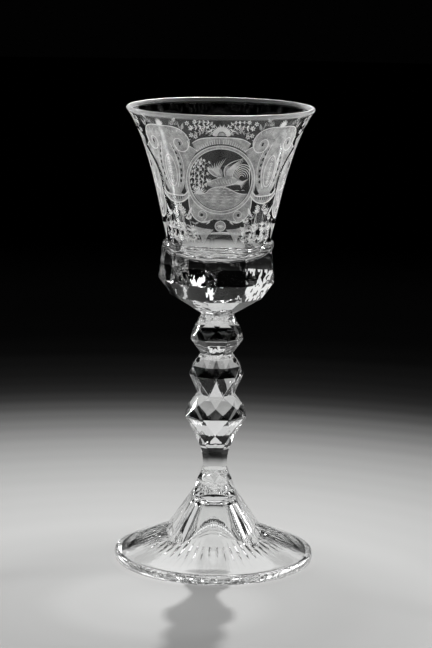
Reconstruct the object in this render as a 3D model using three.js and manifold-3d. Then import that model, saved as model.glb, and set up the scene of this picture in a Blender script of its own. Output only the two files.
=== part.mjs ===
// Footed glass goblet of the eighteenth-century facet-cut kind, in millimetres, +Z up.
// It stands on z = 0 with its axis on Z, and -Y is the side that shows the main medallion.
// The glass was gathered and joined hot in seven lumps, then ground cold on flat wheels.
import * as THREE from 'three';
import { mergeVertices } from 'three/addons/utils/BufferGeometryUtils.js';
import Module from 'manifold-3d';

const wasm = await Module();
wasm.setup();

// Heights of the seven gathers, from the table up.
const footHeight = 27.3;
const collarHeight = 9.9;
const balusterHeight = 30;
const middleKnopHeight = 16.2;
const upperKnopHeight = 15.75;
const baseHeight = 29.05;
const bellHeight = 51.8;

// Half-widths across the flats where one gather is stuck to the next.
const footTopHalf = 8.2;
const collarTopHalf = 4.66;
const balusterTopHalf = 7;
const middleTopHalf = 6;
const upperTopHalf = 6.4;

// Foot: a wide cone with a round edge and a steep dome of four broad panels.
const footRadius = 39.3;
const rimRound = 2.7;
const rimSide = 1.6;
const restWidth = 1.6;
const footSlope = 0.395;
const domeSpread = 0.585;
const domeCornerSpread = 0.85;
const domeSkirt = 8;
const hollowRadius = 17.4;
const hollowRise = 7.4;
const hollowCrown = 2.9;
const hollowNeck = 8.9;
const hollowNeckDrop = 2.5;
const hollowRound = 4.5;
const rayCount = 60;
const rayInner = 18.5;
const rayOuter = 31;
const rayDepth = 0.5;
const rayWidth = 1.2;

// Collar over the foot, narrow in its waist.
const collarWaistHeight = 5.2;
const collarWaistRadius = 6.9;
const collarLipHeight = 9.5;
const collarLipHalf = 4.9;
const collarCornerRatio = 1.22;

// Baluster: a slender hollow-cut shank under a wide knop.
const shankHeight = 10.5;
const shankTopHalf = 6.5;
const shankSwell = 0.8;
const shankFacetHeight = 14.4;
const shankFacetRadius = 8.55;
const balusterGirdleHeight = 21.6;
const balusterGirdleHalf = 11.9;
const balusterShoulderHeight = 25.8;
const balusterShoulderRadius = 10.7;
const balusterCornerRatio = 1.1;

// Middle knop.
const middleGirdleHeight = 7.8;
const middleGirdleRadius = 10.7;
const middleShoulderHeight = 11.6;
const middleShoulderHalf = 9.2;
const middleCrownHeight = 14.6;
const middleCrownRadius = 7.3;

// Upper knop, with a short neck above its shoulder.
const upperGirdleHeight = 6.3;
const upperGirdleHalf = 10.3;
const upperShoulderHeight = 10.4;
const upperShoulderRadius = 9.1;
const upperNeckHeight = 13.8;
const upperNeckHalf = 6.9;

// Bowl base: a thick gather cut into upright panels with arched tops.
const panelCount = 9;
const panelTurn = 7.6;
const undersideHeight = 7.05;
const undersideRadius = 18.2;
const widestHeight = 14;
const widestRadius = 23.3;
const shoulderHeight = 17;
const shoulderRadius = 22.75;
const panelTopRadius = 22;
const waistRadius = 21.6;
const waistDrop = 1.3;
const archTopDrop = 1.5;
const archFootDrop = 4.1;
const cavityFloor = 20.85;
const cavityRound = 14.5;
const cavityBend = 4;
const cavityBendIn = 0.6;

// Bell: a thin blown wall that flares to a fire-polished lip.
const jointRadius = 20.55;
const jointWall = 1.6;
const lipRadius = 36.25;
const lipWall = 1.5;
const bellBelly = 20.65;
const bellBellyHeight = 2;
const bellFlare = 26.9;
const bellFlareHeight = 39;

// How finely round surfaces are divided.
const roundSides = 60;
const bellRings = 14;
const rimSteps = 4;
const lipSteps = 6;
const hollowSteps = 6;
const shankSteps = 6;
const cavitySteps = 10;
const archSteps = 12;
const wheelSides = 36;

// How far a cutter runs past the glass, and one panel's cutter into the next one's.
const beyond = 1;
const plankOverlap = 0.3;

const tau = Math.PI * 2;
const archTop = baseHeight - archTopDrop;
const archFoot = baseHeight - archFootDrop;

// A closed solid from a geometry: shared points are merged, and the triangles that
// collapse on the axis of a turned form are dropped.
function solid(geometry) {
  geometry.deleteAttribute('normal');
  geometry.deleteAttribute('uv');
  const merged = mergeVertices(geometry, 1e-4);
  const corners = merged.index.array;
  const kept = [];
  for (let i = 0; i < corners.length; i += 3) {
    const [a, b, c] = corners.subarray(i, i + 3);
    if (a !== b && b !== c && c !== a) kept.push(a, b, c);
  }
  return new wasm.Manifold(new wasm.Mesh({
    numProp: 3,
    vertProperties: merged.attributes.position.array,
    triVerts: new Uint32Array(kept),
  }));
}

// Turns an outline of [height, radius] points about +Z. Few sides give flat facets;
// firstCorner is the angle of a corner, counted from the front.
function turned(outline, sides = roundSides, firstCorner = 0) {
  const points = outline.map(([height, radius]) => new THREE.Vector2(radius, height));
  const lathe = new THREE.LatheGeometry(points, sides, firstCorner);
  lathe.rotateX(Math.PI / 2);
  return solid(lathe);
}

// Adds the two points on the axis that close an outline.
function closed(outline) {
  const bottom = outline[0][0];
  const top = outline[outline.length - 1][0];
  return [[bottom, 0], ...outline, [top, 0]];
}

// Points along a curve whose control points are [height, radius] pairs.
function curve(controls, steps) {
  const [a, b, c, d] = controls.map(([height, radius]) => new THREE.Vector2(height, radius));
  return new THREE.CubicBezierCurve(a, b, c, d).getPoints(steps).map((p) => [p.x, p.y]);
}

// A gather ground on four main faces, at the front, back and sides, and then on its four
// corners. Both outlines are [height, half-width across the flats].
function groundOnEight(mainFaces, cornerFaces) {
  const reach = ([height, half]) => [height, half * Math.SQRT2];
  const square = turned(closed(mainFaces.map(reach)), 4, Math.PI / 4);
  const corners = turned(closed(cornerFaces.map(reach)), 4, 0);
  return square.intersect(corners);
}

// The eight points of a ring at a height, on the ridges between four main faces and four
// corner faces that stand further out by a ratio.
function ridgesAt(height, half, ratio = 1) {
  const side = half * (ratio * Math.SQRT2 - 1);
  const points = [];
  for (let quarter = 0; quarter < 4; quarter += 1) {
    const cosine = Math.cos(quarter * tau / 4);
    const sine = Math.sin(quarter * tau / 4);
    for (const across of [-side, side]) {
      points.push([half * cosine - across * sine, half * sine + across * cosine, height]);
    }
  }
  return points;
}

// The eight points of a ring that is turned by half a face, with a ridge at the front.
function turnedRidgesAt(height, radius) {
  const points = [];
  for (let corner = 0; corner < 8; corner += 1) {
    const angle = corner * tau / 8;
    points.push([radius * Math.cos(angle), radius * Math.sin(angle), height]);
  }
  return points;
}

// A gather ground in rows of facets, each row stretched from one ring of ridge points to the
// next. Between a ring and a turned one the facets are three-sided and point up and down.
function groundInRows(rings) {
  let gather = wasm.Manifold.hull([...rings[0], ...rings[1]]);
  for (let row = 2; row < rings.length; row += 1) {
    gather = gather.add(wasm.Manifold.hull([...rings[row - 1], ...rings[row]]));
  }
  return gather;
}

// Height of the foot's conical top at a radius.
function footTopAt(radius) {
  return rimRound * 2 + footSlope * (footRadius - rimRound - radius);
}

// The wide cone of the foot with its round edge, still without its dome.
function footDisc() {
  const edgeRadius = footRadius - rimRound;
  const under = [
    [0, edgeRadius],
    [0, footRadius - rimRound / 4],
    [rimRound - rimSide, footRadius],
    [rimRound, footRadius],
  ];
  const over = [
    [rimRound, footRadius],
    [rimRound + rimSide, footRadius],
    [footTopAt(edgeRadius + rimSide), edgeRadius + rimSide],
    [footTopAt(edgeRadius), edgeRadius],
  ];
  const outline = [[0, 0], ...curve(under, rimSteps), ...curve(over, rimSteps).slice(1)];
  outline.push([footTopAt(footTopHalf), footTopHalf]);
  outline.push([footTopAt(footTopHalf), 0]);
  return turned(outline);
}

// The four broad panels that rise from the cone to the collar.
function footDome() {
  const drop = footHeight - domeSkirt;
  const panels = [[domeSkirt, footTopHalf + domeSpread * drop], [footHeight, footTopHalf]];
  const cornerTop = footTopHalf * collarCornerRatio;
  const corners = [[domeSkirt, cornerTop + domeCornerSpread * drop], [footHeight, cornerTop]];
  return groundOnEight(panels, corners);
}

// The hollow under the foot: a shallow cone and, above it, a steep one with a round crown,
// whose side runs along the panels of the dome.
function footHollow() {
  const restInner = footRadius - rimRound - restWidth;
  const hollowTop = footHeight - hollowCrown;
  const controls = [
    [hollowTop - hollowNeckDrop, hollowNeck],
    [hollowTop - hollowNeckDrop / 4, hollowNeck - hollowNeckDrop / 2],
    [hollowTop, (hollowNeck + hollowRound) / 2],
    [hollowTop, hollowRound],
  ];
  const crown = [...curve(controls, hollowSteps), [hollowTop, 0]];
  const side = [[-beyond, restInner], [0, restInner], [hollowRise, hollowRadius]];
  return turned([[-beyond, 0], ...side, ...crown]);
}

// One short radial mitre cut, made by the edge of a wheel whose axle lies across the ray.
function rayCut(angle) {
  const length = rayOuter - rayInner;
  const wheelRadius = (length * length / 4 + rayDepth * rayDepth) / (2 * rayDepth);
  const wheelHalf = wheelRadius * (rayWidth / 2) / rayDepth;
  const middle = (rayInner + rayOuter) / 2;
  const edge = new THREE.Vector2(wheelRadius, 0);
  const outline = [new THREE.Vector2(0, -wheelHalf), edge, new THREE.Vector2(0, wheelHalf)];
  const wheel = new THREE.LatheGeometry(outline, wheelSides);
  wheel.rotateZ(Math.PI / 2);
  wheel.translate(0, 0, wheelRadius - rayDepth);
  wheel.rotateX(Math.atan(footSlope));
  wheel.translate(0, -middle, footTopAt(middle));
  wheel.rotateZ(angle);
  return solid(wheel);
}

// The rays are cut up to the dome, whose panels stand clear of the wheel.
function foot() {
  let disc = footDisc();
  for (let ray = 0; ray < rayCount; ray += 1) {
    disc = disc.subtract(rayCut((ray + 0.5) * tau / rayCount));
  }
  return disc.add(footDome()).subtract(footHollow());
}

function collar() {
  return groundInRows([
    ridgesAt(0, footTopHalf, collarCornerRatio),
    turnedRidgesAt(collarWaistHeight, collarWaistRadius),
    ridgesAt(collarLipHeight, collarLipHalf, balusterCornerRatio),
    ridgesAt(collarHeight, collarTopHalf, balusterCornerRatio),
  ]);
}

function baluster() {
  const controls = [
    [0, collarTopHalf],
    [shankHeight / 2, collarTopHalf],
    [shankHeight * shankSwell, shankTopHalf * shankSwell],
    [shankHeight, shankTopHalf],
  ];
  const shank = curve(controls, shankSteps);
  return groundInRows([
    ...shank.map(([height, half]) => ridgesAt(height, half, balusterCornerRatio)),
    turnedRidgesAt(shankFacetHeight, shankFacetRadius),
    ridgesAt(balusterGirdleHeight, balusterGirdleHalf),
    turnedRidgesAt(balusterShoulderHeight, balusterShoulderRadius),
    ridgesAt(balusterHeight, balusterTopHalf),
  ]);
}

function middleKnop() {
  return groundInRows([
    ridgesAt(0, balusterTopHalf),
    turnedRidgesAt(middleGirdleHeight, middleGirdleRadius),
    ridgesAt(middleShoulderHeight, middleShoulderHalf),
    turnedRidgesAt(middleCrownHeight, middleCrownRadius),
    ridgesAt(middleKnopHeight, middleTopHalf),
  ]);
}

function upperKnop() {
  return groundInRows([
    ridgesAt(0, middleTopHalf),
    ridgesAt(upperGirdleHeight, upperGirdleHalf),
    turnedRidgesAt(upperShoulderHeight, upperShoulderRadius),
    ridgesAt(upperNeckHeight, upperNeckHalf),
    ridgesAt(upperKnopHeight, upperTopHalf),
  ]);
}

// The ridges of the bowl base, from its neck to the top of the panels.
function ridgeOutline() {
  return [
    [0, upperTopHalf],
    [undersideHeight, undersideRadius],
    [widestHeight, widestRadius],
    [shoulderHeight, shoulderRadius],
    [archFoot, panelTopRadius],
  ];
}

// The upright plank of space that one panel's wheel sweeps, with an arched top.
function archedPlank(angle) {
  const reach = Math.max(undersideRadius, widestRadius, shoulderRadius, panelTopRadius);
  const half = reach * Math.sin(Math.PI / panelCount) + plankOverlap;
  const plank = new THREE.Shape();
  plank.moveTo(-half, -beyond);
  plank.lineTo(half, -beyond);
  plank.lineTo(half, archFoot);
  const rise = archTop - archFoot;
  const arcRadius = (half * half + rise * rise) / (2 * rise);
  const spread = Math.asin(half / arcRadius);
  const arcCentre = archTop - arcRadius;
  plank.absarc(0, arcCentre, arcRadius, Math.PI / 2 - spread, Math.PI / 2 + spread, false);
  plank.lineTo(-half, -beyond);
  const sweep = { depth: reach + beyond, bevelEnabled: false, curveSegments: archSteps };
  const block = new THREE.ExtrudeGeometry(plank, sweep);
  block.rotateX(Math.PI / 2);
  block.rotateZ(angle);
  return solid(block);
}

// The inside of the bowl base, open at the top.
function baseCavity() {
  const topRadius = jointRadius - jointWall;
  const over = baseHeight + beyond;
  const controls = [
    [cavityFloor, 0],
    [cavityFloor, cavityRound],
    [cavityFloor + cavityBend, topRadius - cavityBendIn],
    [baseHeight, topRadius],
  ];
  const wall = curve(controls, cavitySteps);
  return turned([...wall, [over, topRadius], [over, 0]]);
}

function bowlBase() {
  const panelAngle = tau / panelCount;
  const turn = THREE.MathUtils.degToRad(panelTurn);
  const ridges = ridgeOutline();
  const waist = [baseHeight - waistDrop, waistRadius];
  const blank = turned(closed([...ridges, waist, [baseHeight, jointRadius]]));
  const ridgesToTop = [...ridges, [baseHeight, panelTopRadius]];
  const ground = turned(closed(ridgesToTop), panelCount, turn + panelAngle / 2);
  let swept = archedPlank(turn);
  for (let panel = 1; panel < panelCount; panel += 1) {
    swept = swept.add(archedPlank(turn + panel * panelAngle));
  }
  return blank.subtract(swept.subtract(ground)).subtract(baseCavity());
}

// The bell's wall as a closed outline: up the outside, round the lip and down the inside.
function bell() {
  const tip = new THREE.Vector2(lipRadius - bellFlare, bellHeight - bellFlareHeight).normalize();
  const outward = new THREE.Vector2(tip.y, -tip.x);
  const lipRound = lipWall / 2;
  const lipMiddle = new THREE.Vector2(lipRadius - lipRound, bellHeight - lipRound);
  const edge = lipMiddle.clone().addScaledVector(outward, lipRound);
  const side = new THREE.CubicBezierCurve(
    new THREE.Vector2(jointRadius, 0),
    new THREE.Vector2(bellBelly, bellBellyHeight),
    new THREE.Vector2(bellFlare, bellFlareHeight),
    edge,
  );
  const outside = [];
  const inside = [];
  for (let ring = 0; ring <= bellRings; ring += 1) {
    const share = ring / bellRings;
    const point = side.getPoint(share);
    const along = side.getTangent(share);
    const wall = THREE.MathUtils.lerp(jointWall, lipWall, share);
    const flat = ring === 0;
    const across = flat ? new THREE.Vector2(1, 0) : new THREE.Vector2(along.y, -along.x);
    const inner = point.clone().addScaledVector(across, -wall);
    outside.push([point.y, point.x]);
    inside.unshift([inner.y, inner.x]);
  }
  const lip = [];
  const start = Math.atan2(outward.y, outward.x);
  for (let step = 1; step < lipSteps; step += 1) {
    const angle = start + (step / lipSteps) * Math.PI;
    lip.push([lipMiddle.y + lipRound * Math.sin(angle), lipMiddle.x + lipRound * Math.cos(angle)]);
  }
  const outline = [...outside, ...lip, ...inside];
  return turned([...outline, outline[0]]);
}

// Clear colourless glass; every gather has a material of its own.
function clearGlass() {
  return new THREE.MeshStandardMaterial({ color: 0xe6ebec, roughness: 0.04, flatShading: true });
}

const goblet = new THREE.Group();
let level = 0;

// Sets a gather on the one below it.
function stack(name, shape, height) {
  const { vertProperties, triVerts } = shape.getMesh();
  const geometry = new THREE.BufferGeometry();
  geometry.setAttribute('position', new THREE.BufferAttribute(vertProperties, 3));
  geometry.setIndex(new THREE.BufferAttribute(triVerts, 1));
  const mesh = new THREE.Mesh(geometry, clearGlass());
  mesh.name = name;
  mesh.position.z = level;
  goblet.add(mesh);
  level += height;
}

stack('foot', foot(), footHeight);
stack('foot_collar', collar(), collarHeight);
stack('baluster', baluster(), balusterHeight);
stack('middle_knop', middleKnop(), middleKnopHeight);
stack('upper_knop', upperKnop(), upperKnopHeight);
stack('bowl_base', bowlBase(), baseHeight);
stack('bowl', bell(), bellHeight);

export default goblet;
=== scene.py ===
import math
import random

import bmesh
import bpy
from mathutils import Matrix, Vector


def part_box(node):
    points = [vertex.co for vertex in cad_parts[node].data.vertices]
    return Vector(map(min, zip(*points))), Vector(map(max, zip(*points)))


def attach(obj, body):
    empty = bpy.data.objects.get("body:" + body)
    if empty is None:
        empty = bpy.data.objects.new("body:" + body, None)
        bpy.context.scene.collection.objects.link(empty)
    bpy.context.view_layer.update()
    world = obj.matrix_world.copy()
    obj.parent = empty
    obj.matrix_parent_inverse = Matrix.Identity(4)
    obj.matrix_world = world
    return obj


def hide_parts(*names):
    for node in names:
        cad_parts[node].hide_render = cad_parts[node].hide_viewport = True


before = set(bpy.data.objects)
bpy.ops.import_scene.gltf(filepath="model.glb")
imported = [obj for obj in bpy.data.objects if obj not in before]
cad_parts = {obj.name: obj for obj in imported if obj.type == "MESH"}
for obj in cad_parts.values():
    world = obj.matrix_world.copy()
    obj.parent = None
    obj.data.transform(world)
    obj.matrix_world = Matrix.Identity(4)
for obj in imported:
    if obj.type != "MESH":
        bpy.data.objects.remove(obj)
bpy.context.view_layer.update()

# Foot. One gather of clear glass, blown hollow underneath, opened to a wide cone with a thick
# fire-rounded edge, then ground cold: four broad panels rise in a dome to the stem, and a wheel's
# edge has struck sixty short mitre cuts round them. It stands on a narrow ring at its edge.
mm = 0.001
scene = bpy.context.scene

surface_group = bpy.data.node_groups.new("worked_glass_surface", "ShaderNodeTree")
for socket in ("Ripple Size", "Ripple Height", "Stretch", "Haze"):
    surface_group.interface.new_socket(name=socket, in_out="INPUT", socket_type="NodeSocketFloat")
for socket, kind in (("Roughness", "Float"), ("Normal", "Vector")):
    surface_group.interface.new_socket(name=socket, in_out="OUTPUT", socket_type="NodeSocket" + kind)


def add_node(tree, kind, **settings):
    """A node of this kind with its settings, its inputs given by name or by number."""
    node = tree.nodes.new("ShaderNode" + kind)
    for name, value in settings.items():
        if name == "inputs":
            for socket, amount in value.items():
                node.inputs[socket].default_value = amount
        else:
            setattr(node, name, value)
    return node


def join_nodes(tree, *links):
    """Makes links, each given as node, output, node, input."""
    for start, output, end, socket in links:
        tree.links.new(start.outputs[output], end.inputs[socket])


given = surface_group.nodes.new("NodeGroupInput")
result = surface_group.nodes.new("NodeGroupOutput")
place = add_node(surface_group, "TexCoord")
stretched = add_node(surface_group, "CombineXYZ", inputs={0: 1, 1: 1})
scaled = add_node(surface_group, "VectorMath", operation="MULTIPLY")
density = add_node(surface_group, "Math", operation="DIVIDE", inputs={0: 1})
ripple = add_node(surface_group, "TexNoise", inputs={"Detail": 1.5, "Roughness": 0.4})
bump = add_node(surface_group, "Bump")
smear = add_node(surface_group, "TexNoise", inputs={"Scale": 55, "Detail": 4, "Roughness": 0.6})
patches = add_node(surface_group, "MapRange", inputs={"From Min": 0.42, "From Max": 0.72})
haze = add_node(surface_group, "Math", operation="MULTIPLY")
join_nodes(
    surface_group,
    (given, "Stretch", stretched, 2),
    (place, "Object", scaled, 0),
    (stretched, 0, scaled, 1),
    (given, "Ripple Size", density, 1),
    (scaled, 0, ripple, "Vector"),
    (density, 0, ripple, "Scale"),
    (ripple, "Fac", bump, "Height"),
    (given, "Ripple Height", bump, "Distance"),
    (bump, 0, result, "Normal"),
    (place, "Object", smear, "Vector"),
    (smear, "Fac", patches, "Value"),
    (patches, 0, haze, 0),
    (given, "Haze", haze, 1),
    (haze, 0, result, "Roughness"),
)


def new_material(name, inputs):
    """A material with these inputs of its shader, its node tree and the shader."""
    material = bpy.data.materials.new(name)
    material.use_nodes = True
    tree = material.node_tree
    shader = tree.nodes["Principled BSDF"]
    for socket, value in inputs.items():
        shader.inputs[socket].default_value = value
    return material, tree, shader


def clear_glass(name, ripple_size, ripple_height, stretch, wear, shade):
    """Clear glass with the ripples and haze of how it was worked; its shadow lets shade through."""
    material, tree, shader = new_material(
        name, {"Base Color": (0.985, 0.99, 0.988, 1), "Transmission Weight": 1, "IOR": 1.51},
    )
    worked = add_node(tree, "Group", node_tree=surface_group, inputs={
        "Ripple Size": ripple_size, "Ripple Height": ripple_height, "Stretch": stretch, "Haze": wear,
    })
    ray = add_node(tree, "LightPath")
    through = add_node(tree, "BsdfTransparent", inputs={"Color": (shade, shade, shade, 1)})
    either = add_node(tree, "MixShader")
    join_nodes(
        tree,
        (worked, "Roughness", shader, "Roughness"),
        (worked, "Normal", shader, "Normal"),
        (ray, "Is Shadow Ray", either, "Fac"),
        (shader, 0, either, 1),
        (through, 0, either, 2),
        (either, 0, tree.nodes["Material Output"], "Surface"),
    )
    return material


foot_glass = clear_glass("foot_glass", 0.004, 0.00004, 1.0, 0.08, 1.0)

# Where two gathers are stuck together hot the glass runs on without a surface.
fused = new_material("fused_joint", {"Alpha": 0})[0]


def pour(source, target):
    """Moves the source's mesh into the target, which may be the source itself."""
    mesh = bpy.data.meshes.new("passing")
    source.to_mesh(mesh)
    source.clear()
    target.from_mesh(mesh)
    bpy.data.meshes.remove(mesh)


def in_order(bm):
    """Sorts a mesh by place, so that every run works through it in the same order."""
    microns, reach = 1e6, 1e5

    def rank(*numbers):
        total = 0
        for number in numbers:
            total = total * 2 * reach + number
        return total

    bm.verts.sort(key=lambda vert: rank(*(round(along * microns) + reach for along in vert.co)))
    bm.verts.index_update()
    bm.edges.sort(key=lambda edge: rank(*sorted(vert.index for vert in edge.verts)))
    bm.faces.sort(key=lambda face: rank(*sorted(vert.index for vert in face.verts)[:3]))
    pour(bm, bm)


def turned(outline):
    """A solid turned about the axis from (height, radius) points in millimetres, ends on the axis."""
    bm = bmesh.new()
    chain = [bm.verts.new((radius * mm, 0, height * mm)) for height, radius in outline]
    for start, end in zip(chain, chain[1:]):
        bm.edges.new((start, end))
    bmesh.ops.spin(
        bm, geom=bm.verts[:] + bm.edges[:], axis=(0, 0, 1), angle=math.tau, steps=240, use_merge=True,
    )
    bmesh.ops.remove_doubles(bm, verts=bm.verts, dist=1e-7)
    bmesh.ops.dissolve_degenerate(bm, dist=1e-8, edges=bm.edges)
    bmesh.ops.recalc_face_normals(bm, faces=bm.faces)
    return bm


def bend(start, lean_out, lean_in, end, steps):
    """Points along a curve that leaves start towards lean_out and comes to end from lean_in."""
    points = []
    for step in range(steps + 1):
        t = step / steps
        s = 1 - t
        weights = (s * s * s, 3 * s * s * t, 3 * s * t * t, t * t * t)
        points.append(tuple(
            sum(w * p[axis] for w, p in zip(weights, (start, lean_out, lean_in, end))) for axis in (0, 1)
        ))
    return points


def eight_ridges(height, face, corner=None):
    """Ridges of a gather with four main and four corner faces, by the half-widths in millimetres."""
    half = (corner or face) * math.sqrt(2) - face
    ridges = []
    for cosine, sine in ((1, 0), (0, 1), (-1, 0), (0, -1)):
        for x in (-half, half):
            ridges.append(Vector((x * cosine + face * sine, x * sine - face * cosine, height)) * mm)
    return ridges


def angle_of(point):
    """Angle round the axis, from a place that no ridge stands on."""
    return (math.atan2(point.y, point.x) + 0.0001) % math.tau


def ground(rings):
    """A gather built up ring by ring, each ring a list of its ridge points in metres, with fused ends."""
    bm = bmesh.new()
    bmesh.ops.create_circle(bm, segments=len(rings[0]), radius=rings[0][0].length)
    corners, edges = bm.verts[:], bm.edges[:]
    low_end = edges
    for number, ring in enumerate(rings):
        if number:
            grown = bmesh.ops.extrude_edge_only(bm, edges=edges)["geom"]
            corners = [part for part in grown if isinstance(part, bmesh.types.BMVert)]
            edges = [part for part in grown if isinstance(part, bmesh.types.BMEdge)]
        corners.sort(key=lambda vert: angle_of(vert.co))
        for vert, point in zip(corners, sorted(ring, key=angle_of)):
            vert.co = point
    for end in (low_end, edges):
        for face in bmesh.ops.edgeloop_fill(bm, edges=end)["faces"]:
            face.material_index = 1
    twisted = [face for face in bm.faces if len(face.verts) == 4 and face.material_index == 0]
    bmesh.ops.triangulate(bm, faces=twisted, quad_method="SHORT_EDGE")
    bmesh.ops.recalc_face_normals(bm, faces=bm.faces)
    in_order(bm)
    even, level = math.radians(0.5), 0.9999
    spare = [
        edge for edge in bm.edges
        if edge.is_manifold and edge.calc_face_angle() < even and abs(edge.link_faces[0].normal.z) < level
    ]
    bmesh.ops.dissolve_edges(bm, edges=spare, use_verts=False)
    spare = [vert for vert in bm.verts if len(vert.link_edges) == 2 and vert.calc_edge_angle() < even]
    bmesh.ops.dissolve_verts(bm, verts=spare)
    bmesh.ops.recalc_face_normals(bm, faces=bm.faces)
    in_order(bm)
    return bm


def polish_ridges(bm, width):
    """The polisher's wheel takes a hair off every ridge between two ground faces."""
    least = math.radians(22)
    ridges = [
        edge for edge in bm.edges
        if edge.is_manifold
        and edge.calc_face_angle() > least
        and not any(face.material_index == 1 for face in edge.link_faces)
    ]
    bmesh.ops.bevel(
        bm, geom=ridges, offset=width * mm, affect="EDGES", segments=2, profile=0.5, material=-1,
        clamp_overlap=True,
    )


def laid_out(name, bm, *materials):
    """The bmesh as an object at the origin, smooth but for its ridges."""
    in_order(bm)
    mesh = bpy.data.meshes.new(name)
    bm.to_mesh(mesh)
    bm.free()
    for material in materials:
        mesh.materials.append(material)
    mesh.shade_smooth()
    mesh.set_sharp_from_angle(angle=math.radians(9))
    piece = bpy.data.objects.new(name, mesh)
    scene.collection.objects.link(piece)
    return piece


def cut_together(start, steps):
    """The start solid with others added (UNION) or taken away (DIFFERENCE) one by one."""
    whole = laid_out("blank", start, foot_glass, fused)
    for way, other in steps:
        change = whole.modifiers.new(way, "BOOLEAN")
        change.operation = way
        change.solver = "EXACT"
        change.object = laid_out("tool", other, foot_glass, fused)
    done = whole.evaluated_get(bpy.context.evaluated_depsgraph_get())
    cut = bmesh.new()
    cut.from_mesh(done.to_mesh())
    for piece in [whole, *(m.object for m in whole.modifiers)]:
        bpy.data.objects.remove(piece)
    bmesh.ops.remove_doubles(cut, verts=cut.verts, dist=2e-7)
    return cut


foot_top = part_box("foot")[1].z / mm
foot_radius, rim_round, foot_slope = 39.299, 2.7, 0.395
dome_foot, dome_half, dome_corner = 8, 8.2, 10.0
face_slope, corner_slope = 0.585, 0.85
cut_count, cut_inner, cut_outer, cut_depth, cut_width = 60, 18.5, 31.0, 0.5, 1.2
clear, lid_rise = 0.02, 0.6
crown = foot_top - 2.9
near_joint = 0.001 * mm


def foot_top_at(radius):
    """Height in millimetres of the cone at a radius."""
    return rim_round * 2 + foot_slope * (foot_radius - rim_round - radius)


edge_radius = foot_radius - rim_round
under_edge, rim, over_edge = (0, edge_radius), (rim_round, foot_radius), (2 * rim_round, edge_radius)
disc_outline = [(0, 0), *bend(under_edge, (0, 38.6), (1.1, foot_radius), rim, 12)]
disc_outline += bend(rim, (4.3, foot_radius), (4.77, 38.2), over_edge, 12)[1:]
disc_outline += [(foot_top_at(dome_foot), dome_foot), (foot_top_at(dome_foot), 0)]

# The mitre cuts: long thin lenses, deepest in the middle, where the wheel's edge sank in.
cuts = bmesh.new()
for number in range(cut_count):
    lens = bmesh.ops.create_grid(cuts, x_segments=2, y_segments=16, size=1)["verts"]
    for vert in lens:
        along, across = vert.co.y, vert.co.x
        deep = 1 - along * along
        radius = (cut_inner + cut_outer) / 2 + along * (cut_outer - cut_inner) / 2
        height = foot_top_at(radius) + (-cut_depth * deep if abs(across) < 0.5 else clear)
        vert.co = Vector((across * (cut_width / 2 * deep + clear), -radius, height)) * mm
    faces = dict.fromkeys(face for vert in lens for face in vert.link_faces)
    lid = bmesh.ops.extrude_face_region(cuts, geom=list(faces), use_keep_orig=True)["geom"]
    lid = [part for part in lid if isinstance(part, bmesh.types.BMVert)]
    for vert in lid:
        vert.co.z = (foot_top_at(-vert.co.y / mm) + lid_rise) * mm
    turn = (number + 0.5) * math.tau / cut_count
    bmesh.ops.rotate(cuts, verts=lens + lid, matrix=Matrix.Rotation(turn, 3, "Z"))
bmesh.ops.recalc_face_normals(cuts, faces=cuts.faces)

dome_drop = foot_top - dome_foot
dome = ground([
    eight_ridges(dome_foot, dome_half + face_slope * dome_drop, dome_corner + corner_slope * dome_drop),
    eight_ridges(foot_top, dome_half, dome_corner),
])
polish_ridges(dome, 0.25)

hollow_crown = bend((crown - 2.5, 8.9), (crown - 0.62, 7.65), (crown, 6.7), (crown, 4.5), 16)
hollow_outline = [(-1, 0), (-1, 35), (0, 35), (7.4, 17.4), *hollow_crown, (crown, 0)]

foot_mesh = cut_together(turned(disc_outline), [
    ("DIFFERENCE", cuts), ("UNION", dome), ("DIFFERENCE", turned(hollow_outline)),
])
for face in foot_mesh.faces:
    face.material_index = int(face.calc_center_median().z > foot_top * mm - near_joint)


def fitted(name, bm, glass, node):
    """A finished piece of glass in place of its plain solid."""
    piece = laid_out(name, bm, glass, fused)
    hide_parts(node)
    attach(piece, "root")


fitted("ground_foot", foot_mesh, foot_glass, "foot")

# Foot collar. A short gather that flares down to the dome, ground on the same eight faces. It is
# the lump of hot glass that holds the stem to the foot.
stem_glass = clear_glass("ground_stem_glass", 0.0022, 0.00008, 0.2, 0.03, 0.1)
collar_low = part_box("foot_collar")[0].z / mm
shank_half, shank_corner = 4.66, 1.1


def eight_points(height, radius):
    """Ridges of a gather whose faces are turned by half a face, with a ridge at the front."""
    turns = [number * math.pi / 4 for number in range(8)]
    return [Vector((radius * math.cos(turn), radius * math.sin(turn), height)) * mm for turn in turns]


def stem_piece(name, node, width, rings):
    """A piece of the stem, ground and polished."""
    bm = ground(rings)
    polish_ridges(bm, width)
    fitted(name, bm, stem_glass, node)


stem_piece("stem_collar", "foot_collar", 0.18, [
    eight_ridges(collar_low, dome_half, dome_corner),
    eight_points(collar_low + 5.2, 6.9),
    eight_ridges(collar_low + 9.5, 4.9, 4.9 * shank_corner),
    eight_ridges(collar_low + 9.9, shank_half, shank_half * shank_corner),
])

# Baluster. The lowest knop of the stem, on a slender shank that is ground hollow, so its faces
# curve inwards from the collar up to the knop.
baluster_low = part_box("baluster")[0].z / mm
middle_joint = 7
shank = bend((0, shank_half), (5.25, shank_half), (8.4, 5.2), (10.5, 6.5), 16)
stem_piece("ground_baluster", "baluster", 0.2, [
    *(eight_ridges(baluster_low + height, half, half * shank_corner) for height, half in shank),
    eight_points(baluster_low + 14.4, 8.55),
    eight_ridges(baluster_low + 21.6, 11.9),
    eight_points(baluster_low + 25.8, 10.7),
    eight_ridges(baluster_low + 30, middle_joint),
])

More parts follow.
